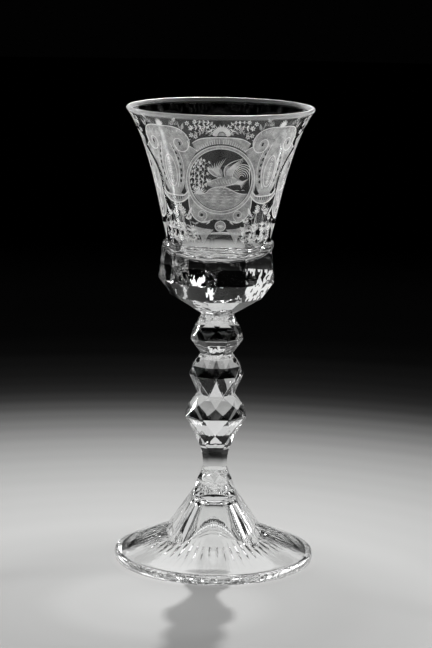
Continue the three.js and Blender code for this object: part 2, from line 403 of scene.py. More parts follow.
# Knops. Two smaller gathers set one on the other and ground on eight equal faces, with a
# girdle and a shoulder each. The upper one ends in a short neck under the bowl.
middle_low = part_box("middle_knop")[0].z / mm
upper_joint, neck, neck_ring = 6, 5.6, 6.3
stem_piece("ground_middle_knop", "middle_knop", 0.2, [
    eight_ridges(middle_low, middle_joint),
    eight_points(middle_low + 7.8, 10.7),
    eight_ridges(middle_low + 11.6, 9.2),
    eight_points(middle_low + 14.6, 7.3),
    eight_ridges(middle_low + 16.2, upper_joint),
])

upper_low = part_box("upper_knop")[0].z / mm
stem_piece("ground_upper_knop", "upper_knop", 0.2, [
    eight_ridges(upper_low, upper_joint),
    eight_ridges(upper_low + 6.3, 10.3),
    eight_points(upper_low + 10.4, 9.1),
    eight_ridges(upper_low + 13.8, 6.9),
    eight_ridges(upper_low + 15.75, neck_ring),
    eight_ridges(upper_low + 15.75, neck),
])

# Bowl base. The thick gather under the bowl, ground into nine upright panels that meet in ridges
# and end in arches below the bell. The round bottom of the cavity is inside it.
base_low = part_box("bowl_base")[0].z / mm
base_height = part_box("bowl_base")[1].z / mm - base_low
panel_glass = clear_glass("ground_panel_glass", 0.0035, 0.00014, 0.2, 0.03, 0.15)
panels, columns = 9, 24
panel_turn = math.radians(7.6)
half_panel = math.pi / panels
arch_top, arch_foot, scoop = base_height - 1.5, base_height - 4.1, 1.8
waist_height, waist_radius, joint_radius, joint_wall = base_height - 1.3, 21.6, 20.55, 1.6
widest, panel_top = 23.3, 22.0
cavity_floor = 20.85


def blank_at(height):
    """Radius of the turned blank above the foot of the arches."""
    low, high = (arch_foot, panel_top), (waist_height, waist_radius)
    if height >= waist_height:
        low, high = high, (base_height, joint_radius)
    return low[1] + (high[1] - low[1]) * (height - low[0]) / (high[0] - low[0])


def arch_at(across):
    """Height of a panel's arch at a distance across the panel from its middle."""
    half = widest * math.sin(half_panel) + 0.3
    rise = arch_top - arch_foot
    radius = (half * half + rise * rise) / (2 * rise)
    return arch_top - radius + math.sqrt(radius * radius - across * across)


def panel_rings():
    """Rings of the bowl base from its neck up over the arches and down into the cavity."""
    headings = [panel_turn + half_panel * (2 * k / columns - 1) for k in range(panels * columns)]
    aside = [half_panel * ((2 * k / columns) % 2 - 1) for k in range(panels * columns)]

    def ring(heights, radii):
        return [
            Vector((radius * math.sin(heading), -radius * math.cos(heading), base_low + height)) * mm
            for heading, height, radius in zip(headings, heights, radii)
        ]

    count = len(headings)
    apart = math.cos(half_panel)
    rings = []
    eighth = math.pi / 4
    to_eight = [neck / math.cos((h + eighth / 2) % eighth - eighth / 2) for h in headings]
    rings.append(ring([0] * count, to_eight))
    for height, ridge in ((0, 6.4), (7.05, 18.2), (14, widest), (17, 22.75)):
        rings.append(ring([height] * count, [ridge * apart / math.cos(a) for a in aside]))
    tops, flats, scoops = [], [], []
    for a in aside:
        flat = panel_top * apart / math.cos(a)
        top = arch_at(flat * math.sin(a))
        if flat > waist_radius:
            meets = arch_foot + (flat - panel_top) / (waist_radius - panel_top) * (waist_height - arch_foot)
            top = min(top, meets)
        tops.append(top)
        flats.append(flat)
        scoops.append(top - scoop * (1 - (a / half_panel) ** 2) - 0.1)
    blanks = [max(blank_at(top), flat) for top, flat in zip(tops, flats)]
    rings.append(ring(scoops, flats))
    for up, out in ((0.55, 0.2), (0.85, 0.55), (1.0, 1.0)):
        heights = [low + (high - low) * up for low, high in zip(scoops, tops)]
        rings.append(ring(heights, [flat + (blank - flat) * out for flat, blank in zip(flats, blanks)]))
    waists = [max(waist_height, top + 0.05) for top in tops]
    rings.append(ring(waists, [blank_at(height) for height in waists]))
    rings.append(ring([base_height - 0.5] * count, [joint_radius + 0.7] * count))
    rings.append(ring([base_height] * count, [joint_radius] * count))
    inner = joint_radius - joint_wall
    top, bottom = (base_height, inner), (cavity_floor, 0.02)
    for height, radius in bend(top, (cavity_floor + 4, inner - 0.6), (cavity_floor, 15.0), bottom, 32):
        rings.append(ring([height] * count, [radius] * count))
    return rings


base_mesh = ground(panel_rings())
bmesh.ops.remove_doubles(base_mesh, verts=base_mesh.verts, dist=2e-6)
joint_plane = (base_low + base_height) * mm
for face in base_mesh.faces:
    middle = face.calc_center_median()
    flat_top = abs(middle.z - joint_plane) < near_joint
    neck_end = middle.z < base_low * mm + near_joint and len(face.verts) > 8
    face.material_index = int(flat_top or neck_end)
polish_ridges(base_mesh, 0.2)
fitted("panelled_bowl_base", base_mesh, panel_glass, "bowl_base")

# Bell. The blown bowl, opened on the pontil to a wide flare; its lip was rounded in the fire.
# The wall is a millimetre and a half thick and keeps faint ripples round the axis.
bell_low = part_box("bowl")[0].z / mm
bell_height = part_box("bowl")[1].z / mm - bell_low
flare_height, flare_radius = 39, 26.9
lip_radius, lip_wall = 36.25, 1.5
lip_round = lip_wall / 2
bell_steps, lip_steps = 48, 20
lean = Vector((lip_radius - flare_radius, bell_height - flare_height)).normalized()
outward = Vector((lean.y, -lean.x))
lip_middle = Vector((lip_radius - lip_round, bell_height - lip_round))
lip_edge = lip_middle + outward * lip_round


def bell_side(share):
    """The outer side at a share of its way up, as (height above the joint, radius), and its slope."""
    points = ((0, joint_radius), (2, 20.65), (flare_height, flare_radius), (lip_edge.y, lip_edge.x))
    s = 1 - share
    weights = (s ** 3, 3 * s * s * share, 3 * s * share * share, share ** 3)
    slopes = (-3 * s * s, 3 * s * s - 6 * s * share, 6 * s * share - 3 * share * share, 3 * share * share)
    here = Vector([sum(w * p[axis] for w, p in zip(weights, points)) for axis in (0, 1)])
    along = Vector([sum(w * p[axis] for w, p in zip(slopes, points)) for axis in (0, 1)]).normalized()
    return here, along


outside, inside = [], []
for step in range(bell_steps + 1):
    share = step / bell_steps
    here, along = bell_side(share)
    wall = joint_wall + (lip_wall - joint_wall) * share
    inwards = Vector((along.y, -along.x)) if step else Vector((0, -1))
    inner = here + inwards * wall
    outside.append((here.x, here.y))
    inside.insert(0, (inner.x, inner.y))
turn = math.atan2(outward.y, outward.x)
lip = []
for step in range(1, lip_steps):
    angle = turn + math.pi * step / lip_steps
    lip.append((lip_middle.y + lip_round * math.sin(angle), lip_middle.x + lip_round * math.cos(angle)))
bell_outline = [(bell_low + height, radius) for height, radius in [*outside, *lip, *inside, outside[0]]]
bell_mesh = turned(bell_outline)
for face in bell_mesh.faces:
    face.material_index = int(face.calc_center_median().z < bell_low * mm + near_joint)
bell_glass = clear_glass("blown_bell_glass", 0.012, 0.00003, 2.0, 0.02, 0.93)
tree = bell_glass.node_tree
where = add_node(tree, "TexCoord")
parts = add_node(tree, "SeparateXYZ")
lip_low, lip_high = ((bell_low + bell_height - down) * mm for down in (2.1, 1.3))
worn = add_node(tree, "MapRange", inputs={"From Min": lip_low, "From Max": lip_high, "To Max": 0.34})
rougher = add_node(tree, "Math", operation="ADD")
join_nodes(
    tree,
    (where, "Object", parts, 0),
    (parts, "Z", worn, "Value"),
    (worn, 0, rougher, 0),
    (tree.nodes["Group"], "Roughness", rougher, 1),
    (rougher, 0, tree.nodes["Principled BSDF"], "Roughness"),
)
fitted("blown_bell", bell_mesh, bell_glass, "bowl")

# Engraving. The engraver held the bowl under small copper wheels fed with emery and oil, and cut
# the pattern as shallow matt marks a tenth of a millimetre deep. Four round medallions stand in
# strapwork shields, with scrolls, sprays and a border of flowers under the lip.


def matt_glass(name, dark, light, thin, thick):
    """Glass left matt by the wheel: its grain runs between two greys and from thin to thick."""
    material, tree, shader = new_material(name, {"Transmission Weight": 0.3, "Roughness": 0.75, "IOR": 1.3})
    where = add_node(tree, "TexCoord")
    grain = add_node(tree, "TexNoise", inputs={"Scale": 2200, "Detail": 3, "Roughness": 0.7})
    drift = add_node(tree, "TexNoise", inputs={"Scale": 330, "Detail": 2})
    mixed = add_node(tree, "Math", operation="ADD")
    white = add_node(tree, "MixRGB", inputs={
        1: (dark, dark, dark * 0.99, 1), 2: (light, light, light * 0.99, 1),
    })
    share = add_node(tree, "MapRange", inputs={"From Min": 0.75, "From Max": 1.25})
    solid = add_node(tree, "MapRange", inputs={
        "From Min": 0.75, "From Max": 1.25, "To Min": thin, "To Max": thick,
    })
    side = add_node(tree, "NewGeometry")
    behind = add_node(tree, "MapRange", inputs={"To Min": 1, "To Max": 0.03})
    seen = add_node(tree, "Math", operation="MULTIPLY")
    tooth = add_node(tree, "Bump", inputs={"Strength": 0.6, "Distance": 0.00004})
    join_nodes(
        tree,
        (where, "Object", grain, "Vector"),
        (where, "Object", drift, "Vector"),
        (grain, "Fac", mixed, 0),
        (drift, "Fac", mixed, 1),
        (mixed, 0, share, "Value"),
        (share, 0, white, "Fac"),
        (white, 0, shader, "Base Color"),
        (mixed, 0, solid, "Value"),
        (side, "Backfacing", behind, "Value"),
        (solid, 0, seen, 0),
        (behind, 0, seen, 1),
        (seen, 0, shader, "Alpha"),
        (grain, "Fac", tooth, "Height"),
        (tooth, 0, shader, "Normal"),
    )
    return material


matt_ground = matt_glass("matt_ground", 0.45, 0.75, 0.45, 0.8)
matt_line = matt_glass("matt_line", 0.85, 0.95, 0.85, 1.0)
bell_table = [bell_side(step / 200)[0] for step in range(201)]

# The marks are drawn flat, in millimetres, and then laid on the bell from this height up.
marks_low = 5.8
medallion = (0, 20.8)


def bell_radius(height):
    """Outer radius of the bell in millimetres at a height above its joint."""
    for low, high in zip(bell_table, bell_table[1:]):
        if low.x <= height <= high.x:
            return low.y + (high.y - low.y) * (height - low.x) / (high.x - low.x)
    return bell_table[0].y


def stroke(bm, points, widths, lift=0.06, tone=1):
    """One pass of the wheel along points, widths spread evenly over it; tone 0 is a fainter cut."""
    count, thinnest = len(points) - 1, 0.02
    grid = bmesh.ops.create_grid(bm, x_segments=count, y_segments=1, size=1)["verts"]
    grid.sort(key=lambda vert: (round(vert.co.x, 4), vert.co.y))
    path = [Vector(point) for point in points]
    for number in range(count + 1):
        ahead = path[min(number + 1, count)] - path[max(number - 1, 0)]
        side = Vector((-ahead.y, ahead.x)).normalized()
        share = number / count * (len(widths) - 1)
        low = min(int(share), len(widths) - 2)
        width = widths[low] + (widths[low + 1] - widths[low]) * (share - low)
        for vert, way in zip(grid[2 * number:2 * number + 2], (-0.5, 0.5)):
            spot = path[number] + side * way * max(width, thinnest)
            vert.co = (spot.x, spot.y, lift)
    for face in {face for vert in grid for face in vert.link_faces}:
        face.material_index = tone


def round_point(centre, radius, degrees, stretch=1.0):
    """The point of a circle or upright oval at an angle."""
    turn = math.radians(degrees)
    return (centre[0] + radius * math.cos(turn), centre[1] + radius * stretch * math.sin(turn))


def arc(centre, radius, start, end, steps, stretch=1.0):
    """Points on a circle or upright oval between two angles in degrees."""
    turns = [start + (end - start) * step / steps for step in range(steps + 1)]
    return [round_point(centre, radius, turn, stretch) for turn in turns]


def disc(centre, radius, steps):
    """The outline of a round patch."""
    return arc(centre, radius, 0, 360, steps)[:-1]


def on_side(side, points):
    """The points on the right (1) or, turned over, on the left (-1)."""
    return [(side * x, y) for x, y in points]


def spiral(centre, outer, inner, start, end, steps):
    """Points on a spiral that closes in from the outer to the inner radius."""
    shares = [step / steps for step in range(steps + 1)]
    return [
        round_point(centre, outer + (inner - outer) * share, start + (end - start) * share)
        for share in shares
    ]


def smooth(points, steps=4):
    """A smooth line through the points."""
    line = []
    for number in range(len(points) - 1):
        a, b, c, d = (Vector(points[max(0, min(number + k, len(points) - 1))]) for k in (-1, 0, 1, 2))
        for step in range(steps):
            t = step / steps
            spot = b + (c - a) * 0.5 * t
            spot += (a - b * 2.5 + c * 2 - d * 0.5) * t * t
            spot += (b * 1.5 - a * 0.5 - c * 1.5 + d * 0.5) * t ** 3
            line.append((spot.x, spot.y))
    return [*line, tuple(points[-1])]


def directions(degrees):
    """The directions along and across a heading."""
    turn = math.radians(degrees)
    return Vector((math.cos(turn), math.sin(turn))), Vector((-math.sin(turn), math.cos(turn)))


def leaf(bm, root, angle, length, width, curl=0.0, tone=1):
    """A pointed leaf or feather: one short pass of the wheel that swells and lifts off."""
    along, across = directions(angle)
    steps = max(3, round(length / 0.9))
    points = [
        Vector(root) + along * length * step / steps + across * curl * (step / steps) ** 2
        for step in range(steps + 1)
    ]
    stroke(bm, points, (0.04, width, width * 0.8, 0.03), 0.05, tone)


def field(bm, *outlines, lift=0.03):
    """An area ground matt inside the first outline, with clear places inside the others."""
    flat = bmesh.new()
    for outline in outlines:
        ring = bmesh.ops.create_circle(flat, segments=len(outline), radius=1)["verts"]
        for vert, (x, y) in zip(ring, outline):
            vert.co = (x, y, 0)
    bmesh.ops.triangle_fill(flat, use_beauty=True, edges=flat.edges[:])
    for axis, step in ((0, 1.5), (1, 3.0)):
        spread = [vert.co[axis] for vert in flat.verts]
        place = math.ceil(min(spread) / step) * step
        while place < max(spread):
            spot, way = [0, 0, 0], [0, 0, 0]
            spot[axis], way[axis] = place, 1
            whole = flat.verts[:] + flat.edges[:] + flat.faces[:]
            bmesh.ops.bisect_plane(flat, geom=whole, dist=1e-5, plane_co=spot, plane_no=way)
            place += step
    for vert in flat.verts:
        vert.co.z = lift
    pour(flat, bm)


def dash(at, angle, length, width):
    """Outline of a small clear bead left standing in a matt strap."""
    along, across = directions(angle)
    ring = [(0.5, 0), (0.36, 0.5), (-0.36, 0.5), (-0.5, 0), (-0.36, -0.5), (0.36, -0.5)]
    spots = [Vector(at) + along * x * length + across * y * width for x, y in ring]
    return [(spot.x, spot.y) for spot in spots]


def both(points):
    """The outline of a shape that is the same on both sides, from its right half, top to bottom."""
    return [*points, *((-x, y) for x, y in reversed(points) if x > 1e-6)]


def mirrored(bm, draw):
    """The same marks on the right and, turned over, on the left."""
    draw(bm)
    other = bmesh.new()
    draw(other)
    bmesh.ops.scale(other, vec=(-1, 1, 1), verts=other.verts)
    pour(other, bm)


def on_bell(name, bm, heading):
    """Lays flat marks on the bell, their middle line at a heading in degrees from the front."""
    for vert in bm.verts:
        across, height, lift = vert.co
        height += marks_low
        radius = bell_radius(height)
        turn = math.radians(heading) + across / radius
        reach = (radius + lift) * mm
        vert.co = (reach * math.sin(turn), -reach * math.cos(turn), (bell_low + height) * mm)
    bm.normal_update()
    bmesh.ops.reverse_faces(bm, faces=[
        face for face in bm.faces if face.normal.dot(face.calc_center_median().xy.to_3d()) < 0
    ])
    piece = laid_out(name, bm, matt_ground, matt_line)
    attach(piece, "root")


chance = random.Random(7)


def spray(bm, points, size, pairs, flower=False, tone=1):
    """A curved stalk with leaves in pairs, and a small flower at its tip."""
    stalk = smooth(points)
    stroke(bm, stalk, (0.22, 0.2, 0.12), tone=tone)
    last = len(stalk) - 1
    for number in range(pairs):
        spot = stalk[round((number + 0.7) / (pairs + 0.4) * last)]
        ahead = stalk[min(last, round((number + 1.2) / (pairs + 0.4) * last))]
        heading = math.degrees(math.atan2(ahead[1] - spot[1], ahead[0] - spot[0]))
        for side in (-1, 1):
            lean = side * (48 + chance.uniform(-10, 14))
            leaf(bm, spot, heading + lean, size * chance.uniform(0.7, 1.2), size * 0.42, tone=tone)
    if flower:
        blossom(bm, stalk[-1], size * 0.62)


def blossom(bm, at, size, petals=6):
    """A small round flower of drop-shaped petals."""
    for number in range(petals):
        turn = 360 * number / petals + 15
        leaf(bm, round_point(at, 0.25 * size, turn), turn, size, size * 0.55)


def medallion_frame(bm):
    """The round border, the fringed canopy over it and the scrolls that carry it."""
    field(bm, disc(medallion, 13.3, 72), disc(medallion, 12.25, 64))
    stroke(bm, arc(medallion, 13.35, 0, 360, 72), (0.34, 0.34))
    stroke(bm, arc(medallion, 12.2, 0, 360, 64), (0.3, 0.3))
    canopy = [(0, 37.4), (4, 37.25), (7.4, 36.8), (9.6, 35.9), (11.2, 34.8)]
    field(bm, both([*canopy, *arc(medallion, 14.0, 48, 90, 8)]))
    for side in (-1, 1):
        stroke(bm, smooth(on_side(side, canopy)), (0.4, 0.4, 0.3))
        for number in range(12):
            turn = 90 - side * (3 + number * 3.4)
            reaches = (14.15, 15.9 - 0.012 * number * number)
            stroke(bm, [round_point(medallion, reach, turn) for reach in reaches], (0.34, 0.12))
    carrier = [
        (0, 5.0), (2.6, 5.3), (4.2, 4.7), (6.0, 3.9), (8.4, 4.5), (10.6, 6.3), (11.9, 9.2), (12.4, 13.0),
        (12.7, 16.0),
    ]
    right, ring = carrier[1:], arc(medallion, 13.5, -20.8, -90, 14)
    eyes = [dash((side * 7.0, 6.9), 90, 1.3, 1.1) for side in (-1, 1)]
    lower = [*on_side(-1, right[::-1]), carrier[0], *right]
    field(bm, [*lower, *ring, *on_side(-1, ring[-2::-1])], *eyes)
    for side in (-1, 1):
        stroke(bm, smooth(on_side(side, right)), (0.3, 0.42, 0.3))
        stroke(bm, on_side(side, spiral((7.0, 6.9), 2.3, 0.8, 250, -140, 22)), (0.3, 0.2))
        leaf(bm, (side * 4.4, 4.6), 90 - side * 115, 2.6, 0.8, curl=side * 0.8)
        leaf(bm, (side * 3.6, 5.0), 90 - side * 150, 2.4, 0.7, curl=side * 0.5)
    field(bm, disc((0.2, 2.7), 1.9, 20))
    stroke(bm, arc((0.2, 2.7), 1.95, 0, 360, 20), (0.3, 0.3))
    for number in range(5):
        leaf(bm, (0.2, 3.2), 210 + number * 30, 1.7, 0.5)
    for side in (-1, 1):
        drop = [(2.4, 1.2), (6.2, 1.5), (10.2, 2.0), (7.4, -0.8), (6.2, -4.2), (4.6, -1.2)]
        drop = smooth(on_side(side, drop), 3)
        field(bm, drop)
        stroke(bm, drop, (0.2, 0.26, 0.2), tone=0)
        for number in range(5):
            hatch = [(3.6 + 1.2 * number, 1.1), (5.4 + 0.4 * number, -2.4)]
            stroke(bm, on_side(side, hatch), (0.2, 0.05), tone=0)


def mound(bm):
    """The hatched ground at the foot of a medallion's picture."""
    top = smooth([
        (10.4, 15.2), (8.6, 15.2), (6.2, 15.8), (4, 16.9), (1.5, 17.9), (-1.5, 17.9), (-4.0, 17.1),
        (-5.6, 15.6), (-8, 15.1), (-10.4, 15.2),
    ], 3)
    field(bm, [*top, *arc(medallion, 11.8, 208.5, 331.5, 24)])
    stroke(bm, top, (0.2, 0.36, 0.36, 0.2))
    for row in range(6):
        height = 16.6 - row * 1.15
        reach = math.sqrt(max(11.3 ** 2 - (height - medallion[1]) ** 2, 0)) - 1.2
        start = -reach + chance.uniform(0, 1)
        while start < reach - 1.4:
            length = chance.uniform(1.2, 2.6)
            end = (min(start + length, reach), height)
            stroke(bm, [(start, height), (start + length / 2, height + 0.16), end], (0.05, 0.24, 0.05))
            start += length + chance.uniform(0.5, 1.3)


def within(x, y, reach=11.5):
    """The spot, or the nearest one inside the medallion's picture."""
    away = Vector((x, y - medallion[1]))
    away.length = min(away.length, reach)
    return (away.x, away.y + medallion[1])


def bush(bm, side):
    """A thin shrub with many small leaves beside the picture's middle."""
    for foot, middle, tip in ((7.2, 6.6, 6.0), (8.0, 8.4, 8.0), (8.8, 10.0, 9.9)):
        top = 28.6 - 0.5 * abs(tip - 7.6)
        stalk = smooth([(side * foot, 15.2), (side * middle, 21.0), within(side * tip, top)], 6)
        stroke(bm, stalk, (0.26, 0.2, 0.1))
        for number, spot in enumerate(stalk[2:]):
            way = 90 - (62 if number % 2 else -62) + chance.uniform(-18, 18)
            end = within(*round_point(spot, 1.5, way))
            stroke(bm, [spot, end], (0.14, 0.1))
            for lean in (-70, -25, 25, 70):
                turn = way + lean + chance.uniform(-12, 12)
                leaf(bm, within(*end, 11.2), turn, chance.uniform(0.7, 1.1), 0.34)
    for number in range(9):
        leaf(bm, (side * 8.2, 14.8), 90 - side * (58 - 17 * number), 3.4, 0.42, curl=0.3)


def bird(bm, side):
    """A long-tailed bird of no one kind that beats its wings on the mound."""
    def line(points, widths, lift=0.06):
        stroke(bm, on_side(side, smooth(points, 3)), widths, lift)

    def shape(points, lift):
        field(bm, on_side(side, points), lift=lift)

    back = [(-5.3, 19.6), (-4.2, 20.2), (-2.4, 20.9), (0.4, 22.0)]
    belly = [(6.6, 20.4), (5.4, 19.4), (2.6, 18.6), (-0.4, 18.2), (-3.4, 17.9)]
    shape(smooth([(-3.4, 17.9), (-4.9, 18.6), *back, (3.4, 22.2), (5.6, 21.6), *belly], 3)[:-1], 0.035)
    line(back, (0.12, 0.26, 0.2))
    line(belly, (0.3, 0.3, 0.12))
    line([(-5.3, 19.4), (-6.1, 18.9), (-6.5, 18.2)], (0.5, 0.3, 0.05))
    for number in range(4):
        plume = [(-4.9 + 0.35 * number, 19.9), (-5.3 + 0.45 * number, 20.7), (-5.0 + 0.5 * number, 21.3)]
        line(plume, (0.3, 0.26, 0.04))
    left = [(-0.6, 21.6), (-3.0, 22.6), (-4.6, 24.4), (-3.2, 25.4), (-1.4, 25.8), (0.2, 25.0), (0.9, 22.2)]
    shape(smooth(left, 3), 0.045)
    right = [(1.6, 22.2), (1.3, 24.3), (2.0, 25.9), (3.8, 26.2), (5.2, 25.2), (5.0, 23.8), (4.4, 22.2)]
    shape(smooth(right, 3), 0.05)
    feather = (0.04, 0.16, 0.3, 0.03)
    for number in range(8):
        share = number / 7
        tip = (1.9 - 7.6 * share, 29.5 - 3.6 * share)
        line([(0.3 - 1.5 * share, 22.4), (-0.8 - 2.6 * share, 24.8), tip], feather)
        tip = (9.2 - 2.4 * share, 29.8 - 5.4 * share)
        line([(2.4 + 1.4 * share, 22.4), (2.6 + 2.6 * share, 25.0), tip], feather)
    line([(1.5, 22.2), (1.2, 24.3), (1.9, 26.2), (4.6, 28.0), (8.4, 29.2)], (0.3, 0.4, 0.3, 0.1))
    line([(-0.6, 21.7), (-3.0, 22.7), (-4.7, 24.4), (-5.0, 25.6)], (0.3, 0.4, 0.2))
    for number in range(6):
        plume = arc((7.9 + 0.12 * number, 21.3), 1.1 + 0.62 * number, 178, 20 - 12 * number, 12, 1.32)
        stroke(bm, [(side * min(x, 11.2), y) for x, y in plume], (0.2, 0.34, 0.34, 0.05))
    rump = [(3.4, 21.6), (6.2, 21.3), (8.2, 20.3), (8.8, 19.2), (7.2, 18.9), (4.6, 18.8), (2.0, 18.7)]
    shape(smooth(rump, 3), 0.04)
    for number in range(8):
        share = number / 7
        root, middle = (4.6 + 1.6 * share, 19.4 + 1.2 * share), (7.4 + share, 18.9 + 1.3 * share)
        line([root, middle, (8.0 + 2.8 * share, 17.2 + 4.0 * share)], (0.04, 0.18, 0.26, 0.03))
    for number in range(7):
        down = [(-2.2 + number, 20.6 + 0.12 * number), (-1.8 + number, 19.8), (-1.2 + number, 19.0)]
        line(down, (0.05, 0.2, 0.04), 0.07)
    for x in (0.2, 1.9):
        line([(x, 18.5), (x - 0.4, 17.9), (x - 0.9, 17.2)], (0.34, 0.24, 0.16))


def tree_scene(bm):
    """A round-headed tree between two small ones, for the medallions at the sides."""
    gaps = [disc((side * 6.6, 24.5), 1.4, 14) for side in (-1, 1)]
    field(bm, disc(medallion, 12.0, 60), *gaps, lift=0.02)
    stroke(bm, smooth([(0, 17.2), (-0.3, 20), (0.3, 22.5), (0, 26)]), (0.9, 0.6, 0.3))
    for number in range(11):
        turn = math.radians(200 - number * 22)
        tip = (6.2 * math.cos(turn), 25.2 + 5.2 * math.sin(turn))
        spray(bm, [(0, 21.5 + 0.15 * number), (0.45 * tip[0], 0.5 * (tip[1] + 23.5)), tip], 1.4, 6)
    for side in (-1, 1):
        spray(bm, [(side * 7.4, 15.4), (side * 7.8, 18), (side * 8.3, 21)], 1.3, 7)
        for number in range(5):
            leaf(bm, (side * 4.6, 16.6), 90 - side * (60 - 26 * number), 2.0, 0.45)


def crest(bm):
    """The half rosette over a canopy, under the lip: a matt heart, a ring of broad petals and thin leaves.
    """
    field(bm, arc((0, 38.1), 1.25, 0, 180, 12))
    for count, first, radius, length, width in ((9, 6, 1.3, 2.5, 1.15), (8, 16.5, 2.2, 2.3, 0.5)):
        for number in range(count):
            turn = first + 21 * number
            leaf(bm, round_point((0, 38.2), radius, turn), turn, length, width)


def crest_side(bm):
    """The right half of the flowering border over a canopy."""
    spray(bm, [(3.2, 38.4), (6, 39.6), (8.6, 39.2), (11.6, 38.0)], 1.3, 6, True, 0)
    spray(bm, [(3.6, 39.4), (5.6, 41.6), (8.6, 41.4), (11.8, 40.9)], 1.5, 6, True)
    spray(bm, [(2.6, 41.0), (4.2, 43.0), (7.2, 43.4), (10.4, 43.3)], 1.25, 6, True)
    for at, size in (((9.9, 37.5), 0.8), ((7.2, 40.4), 0.75), ((13.3, 42.6), 0.8)):
        blossom(bm, at, size)


def shield(bm):
    """A strapwork shield with beaded straps round an oval and a fluted skirt."""
    half = [
        (0, 40.9), (5, 40.9), (8.5, 40.0), (10.5, 38.0), (11.1, 35.6), (10.5, 33.7), (13.2, 31.9),
        (11.6, 30.0), (9.8, 28), (8.3, 26), (7.2, 24), (6.5, 22), (6.1, 20), (6.0, 18), (6.2, 16),
        (6.7, 14.4), (5.0, 12.8), (2.8, 11.5), (0, 10.9),
    ]
    beads = (
        (3.0, 32.4, 125), (4.0, 30.6, 113), (4.6, 28.5, 100), (4.9, 26.3, 92), (4.8, 24.0, 86),
        (4.4, 21.8, 78), (3.8, 19.7, 70),
    )
    sliver = [(5.4, 19.2), (5.2, 17), (5.5, 15.0), (3.9, 14.6), (2.9, 15.0), (4.3, 16.8), (5.4, 19.2)]
    holes = []
    for side in (-1, 1):
        for x, y, lean in beads:
            holes.append(dash((side * x, y), 90 + side * (lean - 90), 1.3, 0.75))
        holes.append(dash((side * 6.7, 34.4), 90, 1.5, 0.8))
        holes.append(on_side(side, smooth(sliver, 3)[:-1]))
        for number in range(4):
            flute = (side * (0.45 + 1.15 * number), 12.9 + 0.1 * number * number)
            holes.append(dash(flute, 90 - side * 7 * number, 1.5, 0.42))
    top = smooth(half[:6], 3)
    field(bm, both([*top, *smooth(half[6:], 3)]), *holes)
    straps = (
        (top, (0.3, 0.4, 0.3)),
        ([(10.5, 33.7), (13.4, 31.8)], (0.4, 0.4)),
        (spiral((6.7, 34.4), 3.9, 1.0, 20, -400, 34), (0.42, 0.36, 0.2)),
        (smooth([(6.7, 14.4), (5.0, 12.8), (2.8, 11.5), (0, 10.9)]), (0.5, 0.5)),
        (smooth([(6.4, 16.2), (4.4, 14.3), (2.4, 13.9), (0, 13.9)]), (0.5, 0.5)),
        (smooth([(2.2, 34.2), (3.2, 31.2), (3.8, 28), (3.9, 24.5), (3.2, 20.4), (1.8, 17)]), (0.3, 0.3)),
        (smooth([(4.6, 33.4), (5.6, 30.6), (6.2, 27.5), (6.0, 24), (5.2, 20.6)]), (0.25, 0.25)),
    )
    for side in (-1, 1):
        for points, widths in straps:
            stroke(bm, on_side(side, points), widths)
        for number in range(7):
            ray = [round_point((6.7, 34.4), reach, 20 + number * 22) for reach in (4.3, 5.0, 5.6)]
            stroke(bm, on_side(side, ray), (0.06, 0.22, 0.04))
    stroke(bm, arc((0, 23.6), 2.6, 0, 360, 40, 2.35), (0.3, 0.3))
    for number in range(6):
        blossom(bm, (0, 19.4 + number * 1.75), 0.72, 5)
    for number in range(-4, 5):
        leaf(bm, (0, 41.0), 90 + number * 17, 3.0 - 0.22 * abs(number), 0.55, curl=0.3)


def shield_side(bm):
    """The curled leaf, frond and sprays on the right side of a shield."""
    leaf(bm, (9.3, 39.6), 72, 3.4, 0.9, curl=-1.0, tone=0)
    leaf(bm, (9.6, 40.0), 40, 2.8, 0.7, curl=1.1, tone=0)
    leaf(bm, (9.0, 40.0), 105, 3.2, 0.7, curl=-0.8, tone=0)
    for number in range(5):
        root = (4.4 + 0.8 * number, 41.2 + 0.1 * number)
        leaf(bm, root, 52 - 6 * number, 2.2, 0.34, curl=0.4, tone=0)
    spray(bm, [(5.2, 41.4), (6.4, 42.8), (7.9, 43.9)], 1.0, 4, True, 0)
    for number in range(8):
        start = (0.6 + 0.9 * number + chance.uniform(-0.4, 0.4), -4.6 + chance.uniform(0, 1.2))
        middle = (start[0] + chance.uniform(-1.5, 1.8), start[1] + 4.2)
        top = min(9.8, 11.0 - 0.85 * number + chance.uniform(-1.5, 1.0))
        end = (middle[0] + chance.uniform(-1.6, 1.6), max(top, middle[1] + 1.5))
        size = chance.uniform(1.2, 1.9)
        spray(bm, [start, middle, end], size, 5, number % 3 == 0, int(number % 3 == 0))
        turn, curl = chance.uniform(20, 160), chance.uniform(-1, 1)
        leaf(bm, middle, turn, 3.2, 0.9, curl, (number + 1) % 2)
    leaf(bm, (0.6, -4.6), 20, 6.0, 1.3, curl=1.0, tone=0)
    leaf(bm, (7.6, 1.3), 200, 4.2, 1.1, curl=-0.8)
    leaf(bm, (6.6, 9.8), 250, 4.6, 1.1, curl=-1.1)


for number, heading in enumerate((0.9, 90.4, 180.9, 270.4)):
    marks = bmesh.new()
    medallion_frame(marks)
    mound(marks)
    if number % 2:
        tree_scene(marks)
    else:
        bird(marks, 1 - number)
        bush(marks, number - 1)
    crest(marks)
    mirrored(marks, crest_side)
    on_bell(f"engraved_medallion_{number + 1}", marks, heading)
for number, heading in enumerate((43.8, 136.2, 225.2, 317.6)):
    marks = bmesh.new()
    shield(marks)
    mirrored(marks, shield_side)
    on_bell(f"engraved_shield_{number + 1}", marks, heading)
